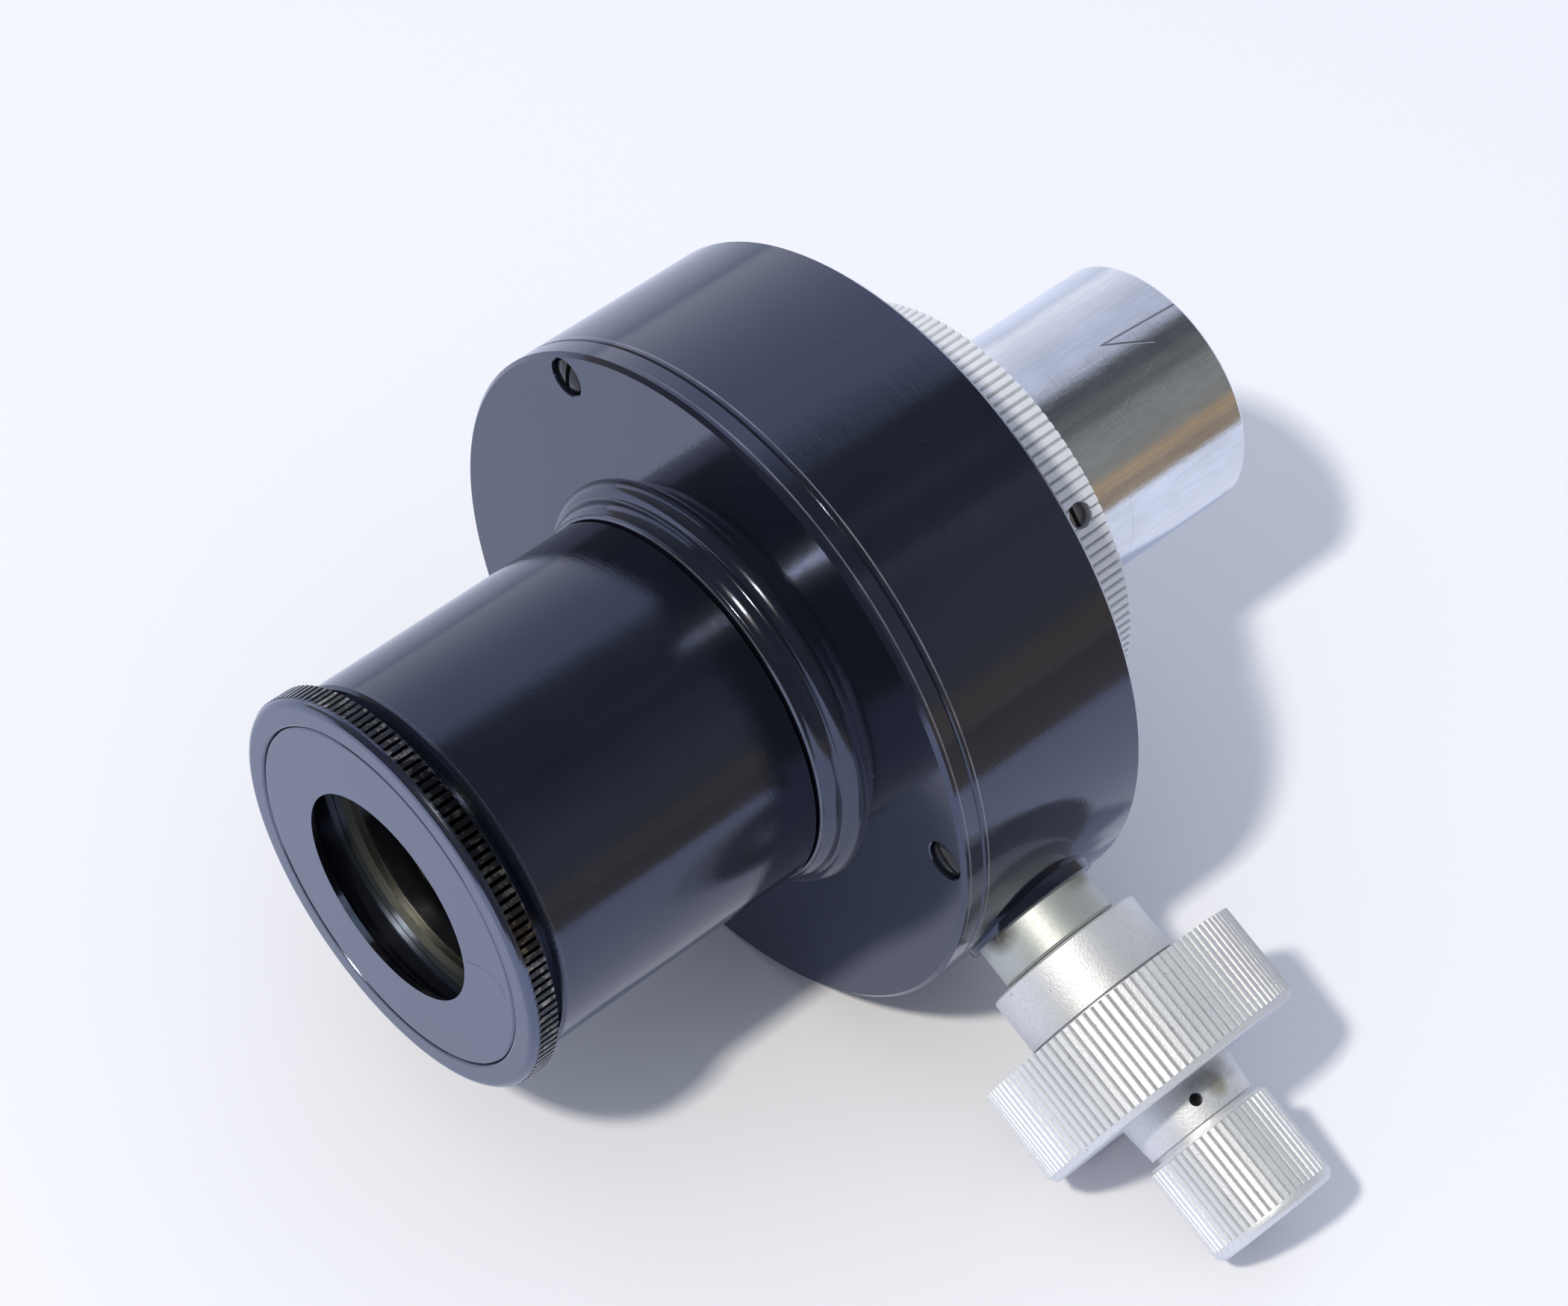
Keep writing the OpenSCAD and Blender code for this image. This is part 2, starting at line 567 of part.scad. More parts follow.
module slide_bed() {
    r_in = tongue_hw + run_gap;
    color([0.62, 0.5, 0.24]) place() difference() {
        union() {
            translate([0, 0, z_bed]) cylinder(h = z_wall - z_bed, r = cavity_d / 2 - 0.2);
            for (s = [-1, 1]) translate([-rail_hl, s > 0 ? r_in : -r_in - rail_w, z_strip])
                cube([2 * rail_hl, rail_w, z_bed - z_strip + e]);
        }
        translate([0, 0, z_bed - 5]) cylinder(h = 10, r = window_d / 2 + 1);
        bed_screw_at() translate([0, 0, z_bed - 1]) cylinder(h = 5, r = 1.0, $fn = 32);
        along_x(x_in - 3) cylinder(h = 6, r = shank_r + 0.4, $fn = 64);
        strip_screw_at() translate([0, 0, z_strip - 1]) cylinder(h = 4, r = 0.62, $fn = 32);
    }
}
module bed_screws() {
    color([0.5, 0.5, 0.5]) place() bed_screw_at() translate([0, 0, z_bed])
        slotted(bed_screw_head / 2, 0.9, 0.9, bed_screw_l, 0.4, 0.4);
}
module keeper_strips() {
    w = tongue_hw + run_gap + rail_w - carriage_hw - run_gap;
    color([0.7, 0.72, 0.74]) place() difference() {
        for (s = [-1, 1])
            translate([-rail_hl, s > 0 ? carriage_hw + run_gap : -carriage_hw - run_gap - w, z_strip_top])
                cube([2 * rail_hl, w, strip_t]);
        strip_screw_at() translate([0, 0, z_strip_top - 1]) cylinder(h = 4, r = 0.65, $fn = 32);
    }
}
module strip_screws() {
    color([0.5, 0.5, 0.5]) place() strip_screw_at() translate([0, 0, z_strip_top])
        slotted(1.1, 0.8, 0.6, strip_screw_l, 0.3, 0.35);
}
module carriage() {
    color([0.62, 0.5, 0.24]) place() difference() {
        union() {
            translate([-carriage_hl, -carriage_hw, z_carriage])
                cube([2 * carriage_hl, 2 * carriage_hw, z_tongue - z_carriage]);
            translate([-carriage_hl, -tongue_hw, z_tongue_top])
                cube([2 * carriage_hl, 2 * tongue_hw, z_tongue - z_tongue_top]);
        }
        translate([0, 0, z_carriage - 1]) cylinder(h = 20, r = window_d / 2);
        translate([0, 0, z_carriage - 1]) cylinder(h = hair_t + 1, r = hair_d / 2 + fix_gap);
        along_x(x_nut - 4) cylinder(h = 20, r = nut_r + fix_gap, $fn = 48);
    }
}
module hairline_plate() {
    color([0.75, 0.82, 0.8, 0.4]) place() translate([0, 0, z_carriage]) cylinder(h = hair_t, r = hair_d / 2);
}
module carriage_nut() {
    color([0.72, 0.58, 0.28]) place() difference() {
        union() {
            along_x(x_nut) cylinder(h = x_nut_end - x_nut, r = nut_r, $fn = 48);
            along_x(carriage_hl) cylinder(h = nut_l, r = nut_head_r, $fn = 48);
        }
        along_x(0) cylinder(h = 2 * x_nut_end, r = thread_r + run_gap, $fn = 48);
    }
}
module spindle() {
    color([0.6, 0.61, 0.63]) place() union() {
        along_x(x_thread) cylinder(h = x_nut_end + travel + 0.6 - x_thread, r = thread_r, $fn = 48);
        along_x(x_nut_end + travel + 0.3)
            cylinder(h = x_in - x_nut_end - travel - 0.3, r = spindle_neck_r, $fn = 48);
        along_x(x_in - e) cylinder(h = x_gap - x_in + 2 * e, r = journal_d / 2, $fn = 48);
        along_x(x_gap) cylinder(h = x_knob_end - 2.2 - x_gap, r = stem_d / 2, $fn = 48);
    }
}
module thrust_collar() {
    color([0.5, 0.51, 0.53]) place() difference() {
        along_x(x_in - end_play - thrust_t) cylinder(h = thrust_t, r = spindle_neck_r + thrust_w, $fn = 48);
        along_x(x_in - 4) cylinder(h = 8, r = spindle_neck_r + fix_gap, $fn = 48);
    }
}
module spindle_bush() {
    color([0.66, 0.67, 0.66]) place() difference() {
        union() {
            along_x(x_in) cylinder(h = boss_x - x_in + e, r = shank_r, $fn = 64);
            along_x(boss_x) cylinder(h = bush_l - 0.2, r = bush_d / 2, $fn = 96);
            along_x(x_gap - 0.2 - e) cylinder(h = 0.2 + e, r1 = bush_d / 2, r2 = bush_d / 2 - 0.2, $fn = 96);
        }
        along_x(x_in - 4) cylinder(h = x_gap - x_in + 8, r = journal_d / 2 + run_gap, $fn = 48);
    }
}
module wheel() {
    h = x_wheel_end - x_sleeve;
    color([0.78, 0.79, 0.8]) place() difference() {
        union() {
            along_x(x_sleeve) rotate_extrude(convexity = 4) polygon([[0, 0], [bush_d / 2 - 0.6, 0],
                [bush_d / 2 - 0.5, 0.2], [sleeve_d / 2 - 0.15, 0.2], [sleeve_d / 2, 0.35],
                [sleeve_d / 2, sleeve_l], [sleeve_d / 2 - 0.6, sleeve_l],
                [sleeve_d / 2 - 0.6, sleeve_l + undercut_w],
                [wheel_d / 2 - wheel_flute - 0.05, sleeve_l + undercut_w],
                [wheel_d / 2 - wheel_flute - 0.05, h - wheel_rim], [wheel_d / 2 - 0.1, h - wheel_rim],
                [wheel_d / 2 - 0.4, h - 0.05], [wheel_d / 2 - 0.5, h], [0, h]]);
            along_x(x_wheel) fluted(wheel_d / 2, wheel_flute, wheel_flutes, wheel_l - wheel_rim);
        }
        along_x(x_sleeve - 1) cylinder(h = h + 2, r = stem_d / 2 + fix_gap, $fn = 48);
    }
}
module knob() {
    n = neck_l; g = neck_groove; h = n + g + knob_l;
    color([0.78, 0.79, 0.8]) place() difference() {
        union() {
            along_x(x_wheel_end) rotate_extrude(convexity = 4) polygon(concat([[0, 0], [neck_d1 / 2, 0],
                [neck_d2 / 2, n], [neck_d2 / 2 - 0.45, n], [neck_d2 / 2 - 0.45, n + g],
                [knob_d / 2 - knob_flute - 0.15, n + g], [knob_d / 2 - knob_flute - 0.05, n + g + 0.3],
                [knob_d / 2 - knob_flute - 0.05, h - 1.0], [knob_d / 2 - 0.05, h - 1.0]],
                [for (a = [0 : 15 : 90]) [knob_d / 2 - 0.85 + 0.8 * cos(a), h - 0.8 + 0.8 * sin(a)]],
                [[0, h]]));
            along_x(x_knob + 0.3) fluted(knob_d / 2, knob_flute, knob_flutes, knob_l - 1.3);
        }
        along_x(x_wheel_end - 1) cylinder(h = h + 1 - 2.1, r = stem_d / 2 + fix_gap, $fn = 48);
        knob_screw_at() cylinder(h = 20, r = 0.55, $fn = 32);
    }
}
module knob_screw_at() { translate([x_wheel_end + neck_l / 2, 0, 0]) rotate([108, 0, 0]) children(); }
module knob_set_screw() {
    color([0.05, 0.05, 0.05]) place() knob_screw_at() translate([0, 0, stem_d / 2 + 0.03]) difference() {
        cylinder(h = 2.2, r = 0.55 - fix_gap, $fn = 32);
        translate([-1, -0.11, 1.8]) cube([2, 0.22, 1]);
    }
}
module clamp_ring() {
    r0 = hub_d / 2 + fix_gap;
    color([0.74, 0.75, 0.76]) place() difference() {
        union() {
            translate([0, 0, z_ring + 0.3]) fluted(ring_d / 2, ring_flute, ring_flutes, ring_l - 0.1 - 0.6);
            rotate_extrude(convexity = 4) polygon([[tube_d / 2, z_ring], [ring_d / 2 - 0.6, z_ring],
                [ring_d / 2 - ring_flute - 0.05, z_ring + 0.3],
                [ring_d / 2 - ring_flute - 0.05, z_seat - 0.3],
                [ring_d / 2 - 0.6, z_seat], [tube_d / 2, z_seat]]);
        }
        translate([0, 0, z_ring - 1]) cylinder(h = ring_l + 2, r = r0);
        ring_screw_at() cylinder(h = 30, r = ring_screw_d / 2 + fix_gap, $fn = 32);
    }
}
module ring_screw_at() {
    translate([0, 0, z_seat - ring_screw_z]) rotate([0, 0, -ring_screw_turn]) rotate([0, 90, 0]) children();
}
module clamp_ring_screw() {
    color([0.1, 0.1, 0.1]) place() ring_screw_at() translate([0, 0, hub_d / 2 + 0.03]) difference() {
        cylinder(h = ring_d / 2 - hub_d / 2 - 1.0, r = ring_screw_d / 2, $fn = 32);
        translate([-0.2, -3, ring_d / 2 - hub_d / 2 - 1.7]) cube([0.4, 6, 2]);
    }
}
module tube() {
    z_end = z_seat + tube_l;
    r0 = tube_d / 2 - tube_wall;
    rj = tube_journal_d / 2;
    color([0.75, 0.76, 0.78]) place() rotate_extrude(convexity = 4) polygon([
        [r0, z_wall + 0.1], [rj, z_wall + 0.1], [rj, z_neck + 0.1], [hub_d / 2, z_neck + 0.1],
        [hub_d / 2, z_seat], [tube_d / 2, z_seat], [tube_d / 2, z_end - tube_bevel],
        [tube_d / 2 - tube_bevel, z_end], [r0 + tube_bevel, z_end], [r0, z_end - tube_bevel]]);
}
module tube_retainer() {
    color([0.6, 0.5, 0.24]) place()
        tube_z(z_wall + 0.12, z_wall + retain_l - end_play,
            recess_d / 2 - 0.2, tube_journal_d / 2 + fix_gap);
}

housing();
front_cover();
cover_screws();
barrel();
barrel_collar();
eye_ring();
eye_disc();
cell_retainer();
lens_cell();
eye_lens();
lens_spacer();
field_lens();
lens_retainer();
cell_key();
reticle_mount();
field_stop();
reticle_plate();
slide_bed();
bed_screws();
keeper_strips();
strip_screws();
carriage();
hairline_plate();
carriage_nut();
spindle();
thrust_collar();
spindle_bush();
wheel();
knob();
knob_set_screw();
clamp_ring();
clamp_ring_screw();
tube();
tube_retainer();
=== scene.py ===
import bpy
import math
from mathutils import Matrix, Vector


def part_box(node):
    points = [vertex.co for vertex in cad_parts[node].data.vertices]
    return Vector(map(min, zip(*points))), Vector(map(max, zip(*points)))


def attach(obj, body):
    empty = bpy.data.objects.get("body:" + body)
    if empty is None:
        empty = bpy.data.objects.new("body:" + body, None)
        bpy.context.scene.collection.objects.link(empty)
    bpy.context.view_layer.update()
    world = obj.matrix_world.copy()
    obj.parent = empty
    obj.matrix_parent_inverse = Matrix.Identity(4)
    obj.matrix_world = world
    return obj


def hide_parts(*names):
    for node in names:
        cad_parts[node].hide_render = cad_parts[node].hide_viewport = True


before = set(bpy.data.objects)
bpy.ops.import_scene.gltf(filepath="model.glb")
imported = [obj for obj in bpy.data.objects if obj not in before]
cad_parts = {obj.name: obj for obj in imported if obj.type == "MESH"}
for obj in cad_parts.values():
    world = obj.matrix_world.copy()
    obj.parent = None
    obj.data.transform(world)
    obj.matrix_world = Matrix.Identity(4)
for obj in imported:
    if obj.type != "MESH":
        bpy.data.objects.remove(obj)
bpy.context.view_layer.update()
print("frame loaded:", len(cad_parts), "nodes")

# the two axes of the instrument, in metres: optical axis along Y, screw axis dipping towards +X
layout = {
    "axisBack": 0.0189,      # the screw axis lies this far in front of the tube's shoulder
    "dip": math.radians(22.868593),
    "floor": -0.0303,
}


# the photograph's own viewing angle
cameraSetup = {
    "place": (0.175562, -0.184518, 0.272538),
    "right": (0.672160, 0.740310, 0.011932),
    "down": (0.563327, -0.500879, -0.657102),
    "focal": 101.54,
    "sensor": 36.0,
    "clip": (0.01, 20),
}


def makeCamera(s):
    data = bpy.data.cameras.new("camera")
    data.lens, data.sensor_width, data.sensor_fit = s["focal"], s["sensor"], "HORIZONTAL"
    data.clip_start, data.clip_end = s["clip"]
    camera = bpy.data.objects.new("camera", data)
    bpy.context.scene.collection.objects.link(camera)
    right, up = Vector(s["right"]).normalized(), -Vector(s["down"]).normalized()
    back = right.cross(up)
    camera.matrix_world = Matrix.Translation(s["place"]) @ Matrix((right, up, back)).transposed().to_4x4()
    bpy.context.scene.camera = camera


makeCamera(cameraSetup)
print("camera placed")


# wraps an output socket, so that ordinary arithmetic adds Math nodes
class Reading:
    def __init__(self, tree, socket):
        self.tree, self.socket = tree, socket

    def math(self, operation, a, b=None, c=None):
        n = self.tree.nodes.new("ShaderNodeMath")
        n.operation = operation
        for i, v in enumerate((a, b, c)):
            if isinstance(v, Reading):
                self.tree.links.new(v.socket, n.inputs[i])
            elif v is not None:
                n.inputs[i].default_value = v
        return Reading(self.tree, n.outputs[0])

    def __add__(self, o): return self.math("ADD", self, o)
    def __radd__(self, o): return self.math("ADD", o, self)
    def __sub__(self, o): return self.math("SUBTRACT", self, o)
    def __rsub__(self, o): return self.math("SUBTRACT", o, self)
    def __mul__(self, o): return self.math("MULTIPLY", self, o)
    def __rmul__(self, o): return self.math("MULTIPLY", o, self)
    def __truediv__(self, o): return self.math("DIVIDE", self, o)
    def __rtruediv__(self, o): return self.math("DIVIDE", o, self)
    def __abs__(self): return self.math("ABSOLUTE", self)
    def __lt__(self, o): return self.math("LESS_THAN", self, o)
    def __gt__(self, o): return self.math("GREATER_THAN", self, o)
    def least(self, o): return self.math("MINIMUM", self, o)
    def most(self, o): return self.math("MAXIMUM", self, o)
    def clamped(self): return self.most(0.0).least(1.0)
    def root(self): return self.math("SQRT", self)
    def sine(self): return self.math("SINE", self)
    def cosine(self): return self.math("COSINE", self)
    def arcSine(self): return self.math("ARCSINE", self)
    def angleFrom(self, o): return self.math("ARCTAN2", self, o)

    # 1 inside the band, 0 outside, with a soft edge
    def band(self, centre, half, soft):
        return (1.0 - (abs(self - centre) - half) / soft).clamped()

    # 0 below the first value, 1 above the second
    def ramp(self, low, high):
        return ((self - low) / (high - low)).clamped()


# adds nodes to the tree of a material or of the world
class Shading:
    def __init__(self, tree):
        self.tree = tree

    # any node: its settings first, then the values or links of its sockets
    def node(self, kind, settings=None, sockets=None):
        n = self.tree.nodes.new(kind)
        for k, v in (settings or {}).items():
            setattr(n, k, v)
        for k, v in (sockets or {}).items():
            self.put(n.inputs[k], v)
        return n

    def put(self, socket, v):
        if isinstance(v, Reading):
            self.tree.links.new(v.socket, socket)
        elif isinstance(v, bpy.types.NodeSocket):
            self.tree.links.new(v, socket)
        elif socket.type == "RGBA":
            socket.default_value = (*v[:3], 1.0)
        else:
            socket.default_value = v

    def read(self, socket):
        return Reading(self.tree, socket)

    # X, Y and Z of a vector
    def split(self, vector):
        parts = self.node("ShaderNodeSeparateXYZ", {}, {"Vector": vector})
        return [self.read(parts.outputs[i]) for i in range(3)]

    def mixed(self, factor, a, b):
        n = self.tree.nodes.new("ShaderNodeMix")
        n.data_type = "RGBA"
        self.put(n.inputs[0], factor)
        self.put(n.inputs[6], a)
        self.put(n.inputs[7], b)
        return n.outputs[2]

    # a colour ramp with (position, colour) stops
    def graded(self, factor, stops):
        n = self.node("ShaderNodeValToRGB", {}, {"Fac": factor})
        marks = n.color_ramp.elements
        while len(marks) < len(stops):
            marks.new(0.5)
        for mark, (position, colour) in zip(marks, stops):
            mark.position, mark.color = position, (*colour, 1.0)
        return n.outputs["Color"]

    def noise(self, where, scale, detail=3.0, roughness=0.5):
        return self.read(self.node("ShaderNodeTexNoise", {}, {
            "Vector": where, "Scale": scale, "Detail": detail, "Roughness": roughness}).outputs["Fac"])

    def cells(self, where, scale):
        return self.read(self.node("ShaderNodeTexVoronoi", {}, {
            "Vector": where, "Scale": scale}).outputs["Distance"])

    # 1 for rays of the named kind
    def ray(self, kind):
        return self.read(self.node("ShaderNodeLightPath").outputs[kind])


# a material and its shader
class Finish(Shading):
    def __init__(self, name):
        self.material = bpy.data.materials.new(name)
        self.material.use_nodes = True
        Shading.__init__(self, self.material.node_tree)
        self.shader = self.tree.nodes["Principled BSDF"]

    # values or links of the shader's sockets
    def set(self, sockets):
        for k, v in sockets.items():
            self.put(self.shader.inputs[k], v)

    def bumped(self, height, strength, distance):
        n = self.node("ShaderNodeBump", {}, {"Strength": strength, "Distance": distance, "Height": height})
        self.put(self.shader.inputs["Normal"], n.outputs["Normal"])
        return self

    # millimetres in the part's frame; "screw" turns X along the dipping screw axis
    def place(self, about="optical"):
        coordinate = self.node("ShaderNodeTexCoord").outputs["Object"]
        turn = self.node("ShaderNodeMapping", {"vector_type": "TEXTURE"}, {"Vector": coordinate})
        turn.inputs["Location"].default_value = (0, -layout["axisBack"], 0)
        turn.inputs["Rotation"].default_value = (0, layout["dip"] if about == "screw" else 0.0, 0)
        turn.inputs["Scale"].default_value = (0.001, 0.001, 0.001)
        self.where = turn.outputs["Vector"]
        self.x, self.y, self.z = self.split(self.where)
        across, self.along = (self.y, self.x) if about == "screw" else (self.x, self.y)
        self.radius = (across * across + self.z * self.z).root()
        self.turnAngle = self.z.angleFrom(across)
        return self

    # coordinates wrapped round the axis, so that a pattern can be drawn out along it or round it
    def wrapped(self, roundScale, alongScale):
        v = self.node("ShaderNodeCombineXYZ")
        self.put(v.inputs[0], self.along * alongScale)
        self.put(v.inputs[1], self.turnAngle.sine() * roundScale)
        self.put(v.inputs[2], self.turnAngle.cosine() * roundScale)
        return v.outputs[0]

    # a soft spot on a round surface of the given radius: degrees round it, millimetres along it
    def spot(self, radius, degrees, station, size, soft, stretch):
        u = (self.turnAngle - math.radians(degrees)) * (radius / stretch)
        v = self.along - station
        return (1.0 - ((u * u + v * v).root() - size) / soft).clamped()

    # lays soft patches over a colour: real stains, and on the wheel a painted shade; each of them (radius,
    # degrees round, station, size, soft edge, stretch round, colour, amount)
    def patched(self, tone, patches):
        for radius, degrees, station, size, soft, stretch, colour, amount in patches:
            blot = self.spot(radius, degrees, station, size, soft, stretch)
            patchy = (0.45 + self.noise(self.where, 1.3, 3, 0.6)).clamped()
            tone = self.mixed(blot * patchy * amount, tone, colour)
        return tone

    # a thin line through points of two readings
    def line(self, u, v, points, half, soft):
        found = None
        for (au, av), (bu, bv) in zip(points, points[1:]):
            du, dv = bu - au, bv - av
            t = (((u - au) * du + (v - av) * dv) / (du * du + dv * dv)).clamped()
            eu, ev = u - au - t * du, v - av - t * dv
            near = (1.0 - ((eu * eu + ev * ev).root() - half) / soft).clamped()
            found = near if found is None else found.most(near)
        return found


def shaded(colour, share):
    return tuple(c * share for c in colour)


def dress(finish, *nodes):
    for node in nodes:
        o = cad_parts[node]
        o.data.materials.clear()
        o.data.materials.append(finish.material)
        o.data.polygons.foreach_set("material_index", [0] * len(o.data.polygons))


# glossy black lacquer: the drum, its cover, the barrel and the eye ring
lacquer = {
    "colour": (0.0062, 0.0072, 0.0115),
    "tint": (0.97, 1.09, 1.52),
    "wornAndHighlight": (0.40, 0.41, 0.43),       # light rims: bare metal where rubbed, and painted highlight along the edges
    "rimSoft": 0.05,
    "rimFade": 24,                    # degrees over which a light rim, rubbed and painted highlight, dies away
    "speck": (0.15, 0.15, 0.16),
    "knurl": (0.045, 0.045, 0.05),
    "glint": (0.58, 0.55, 0.47),      # painted glint and worn metal on the tips of the knurl
    "crack": (0.0, 0.0, 0.0),
    "crackWidth": (0.02, 0.05),       # half width and soft edge
    "bump": (0.1, 0.00016),           # strength and distance
}

# per piece: roughness, refraction and the light rims, where the lacquer has rubbed through and a highlight
# is painted, each with its radius, station along the axis, half width, amount, and the middle and half of
# its arc in degrees;
# the knurl as inner and outer radius, first and last station; the crack as points across the face
lacquerPieces = {
    "housing": {"rough": 0.085, "gloss": 1.68, "rims": [(30.25, -7.70, 0.05, 0.45, 30, 120)]},
    "front_cover": {"rough": 0.075, "gloss": 1.72, "rims": [
        (29.95, -10.0, 0.06, 0.75, 10, 75), (30.27, -9.66, 0.05, 0.35, 10, 90),
        (30.25, -7.90, 0.05, 0.60, 60, 110)]},
    "barrel": {"rough": 0.10, "gloss": 1.63, "rims": [(16.7, -39.25, 0.06, 0.35, 60, 90)]},
    "barrel_collar": {"rough": 0.09, "gloss": 1.68, "rims": [(16.95, -13.2, 0.06, 0.20, 40, 100)]},
    "eye_ring": {"rough": 0.10, "gloss": 1.98, "specks": 0.5, "knurl": (17.1, 17.84, -42.98, -41.12),
                 "rims": [(15.6, -43.1, 0.06, 0.25, 0, 180)]},
    "eye_disc": {"rough": 0.085, "gloss": 2.02, "specks": 0.4,
                 "crack": [(9.75, 1.48), (11.42, 2.47), (12.87, 2.97), (13.99, 2.48), (14.46, 1.34)]},
}


def blackLacquer(name, rough, gloss, rims=(), specks=1.0, knurl=None, crack=None):
    f = Finish(name).place()
    cloud = f.noise(f.where, 0.11, 3)
    fine = f.noise(f.where, 2.6, 4, 0.6)
    turned = f.noise(f.wrapped(1.2, 9.0), 1.0, 3, 0.6)
    rubbed = f.noise(f.where, 0.07, 2).ramp(0.45, 0.7)
    speck = (1.0 - f.cells(f.where, 0.62) / 0.06).clamped()
    speck = speck * f.noise(f.where, 0.31, 1).ramp(0.56, 0.62) * specks
    tone = f.mixed(cloud.ramp(0.35, 0.7), lacquer["colour"], shaded(lacquer["colour"], 1.35))
    tone = f.mixed(speck * 0.8, tone, lacquer["speck"])
    height = fine * 0.3 + speck * 2.0 + cloud * 1.2 + turned * 0.3
    rougher = rough + rubbed * 0.035 + fine * 0.02 + speck * 0.3
    rimWearAndHighlight = None
    fade = lacquer["rimFade"]
    # light rims: rubbed-through wear and painted highlight, each over an arc round the axis
    for radius, station, half, amount, middle, arc in rims:
        u, v = f.radius - radius, f.along - station
        hit = (1.0 - ((u * u + v * v).root() - half) / lacquer["rimSoft"]).clamped() * amount
        hit = hit * f.turnAngle.band(math.radians(middle), math.radians(arc - fade / 2), math.radians(fade))
        rimWearAndHighlight = hit if rimWearAndHighlight is None else rimWearAndHighlight.most(hit)
    if rimWearAndHighlight is not None:
        rimWearAndHighlight = rimWearAndHighlight * (f.noise(f.wrapped(9.0, 0.6), 1.0, 3, 0.6).ramp(0.3, 0.6) * 0.6 + 0.4)
        tone = f.mixed(rimWearAndHighlight, tone, lacquer["wornAndHighlight"])
        rougher = rougher + rimWearAndHighlight * 0.2
    if knurl:
        # painted glints and worn metal on the tips of the knurl, here and there
        inner, outer, first, last = knurl
        rows = (f.radius > inner) * (f.along > first) * (f.along < last)
        tip = rows * f.radius.ramp(outer - 0.12, outer) * f.noise(f.where, 0.9, 3, 0.7).ramp(0.5, 0.66)
        tone = f.mixed(rows, tone, lacquer["knurl"])
        tone = f.mixed(tip * 0.6, tone, lacquer["glint"])
        rougher = rougher + rows * 0.07
        f.set({"Metallic": rows})
    if crack:
        cut = f.line(f.x, f.z, crack, *lacquer["crackWidth"])
        tone = f.mixed(cut, tone, lacquer["crack"])
        height = height - cut * 8.0
        rougher = rougher + cut * 0.5
    f.set({"Base Color": tone, "Roughness": rougher, "IOR": gloss, "Specular Tint": lacquer["tint"]})
    return f.bumped(height, *lacquer["bump"])


finishes = {}
for n, settings in lacquerPieces.items():
    finishes[n] = blackLacquer(n.replace("_", "") + "Lacquer", **settings)
    dress(finishes[n], n)


# satin chrome of the wheel, the knob and the knurled ring
satin = {
    "colour": (0.80, 0.805, 0.82),
    "wornAndHighlight": (0.90, 0.90, 0.89),          # the lands: rubbed bright, and painted highlight
    "fluteShade": (0.26, 0.255, 0.24),        # painted shade in the floor of the flutes
    "blasted": (0.42, 0.42, 0.415),
    "pit": (0.18, 0.17, 0.15),
    "roughness": 0.47,
    "bump": (0.34, 0.0001),
}

# per piece: fluted is tip radius, depth of a flute, first and last station, share of the depth from the tip
# kept free of painted shade
chromePieces = {
    "wheel": {"name": "wheelChrome", "about": "screw", "metallic": 0.55,
              "fluted": (12.47, 0.36, 40.2, 48.5, 0.35),
              # on the wheel a broad grey patch is painted shade, darkening the side about 42 degrees round
              "patches": [(12.45, 42, 44.4, 3.0, 5.5, 1.0, (0.52, 0.51, 0.50), 0.7)]},
    "knob": {"name": "knobChrome", "about": "screw", "metallic": 0.55,
             "fluted": (5.93, 0.32, 53.3, 61.3, 0.35),
             "patches": [(5.4, 84, 50.9, 0.4, 0.9, 1.0, (0.30, 0.27, 0.17), 0.8),
                        (5.4, 92, 49.7, 0.3, 0.8, 3.0, (0.20, 0.19, 0.17), 0.7)]},
    "clamp_ring": {"name": "ringChrome", "about": "optical", "metallic": 0.2,
                   "fluted": (19.78, 0.42, 10.6, 18.65, 0.1)},
}


def satinChrome(name, about, metallic, fluted, patches=()):
    f = Finish(name).place(about)
    top, depth, first, last, unshadedShare = fluted
    grain = f.noise(f.where, 6.0, 3, 0.6)
    blast = f.noise(f.where, 3.4, 3, 0.65)
    cloud = f.noise(f.where, 0.16, 3)
    pits = (1.0 - f.cells(f.where, 0.8) / 0.12).clamped() * f.noise(f.where, 0.5, 1).ramp(0.5, 0.58)
    tone = f.mixed(cloud.ramp(0.3, 0.75), satin["colour"], shaded(satin["colour"], 0.9))
    tone = f.mixed(blast.ramp(0.5, 0.75) * 0.3, tone, satin["blasted"])
    tone = f.mixed(pits * 0.8, tone, satin["pit"])
    inside = (f.along > first) * (f.along < last)
    # painted shade in the floor of the flutes, patchy
    low = 1.0 - f.radius.ramp(top - depth, top - depth * unshadedShare)
    tone = f.mixed(low * inside * (0.3 + 0.5 * f.noise(f.where, 0.6, 2)), tone, satin["fluteShade"])
    # the lands lighter: rubbed bright, and painted highlight
    land = f.radius.ramp(top - depth * 0.25, top - depth * 0.05) * inside
    tone = f.mixed(land * blast.ramp(0.3, 0.6) * 0.5, tone, satin["wornAndHighlight"])
    tone = f.patched(tone, patches)
    rough = satin["roughness"] + (blast - 0.5) * 0.16 + cloud * 0.05 + pits * 0.2
    f.set({"Base Color": tone, "Roughness": rough, "Metallic": metallic})
    return f.bumped(grain + blast * 0.8 - pits * 2.0, *satin["bump"])


for n, settings in chromePieces.items():
    dress(satinChrome(**settings), n)


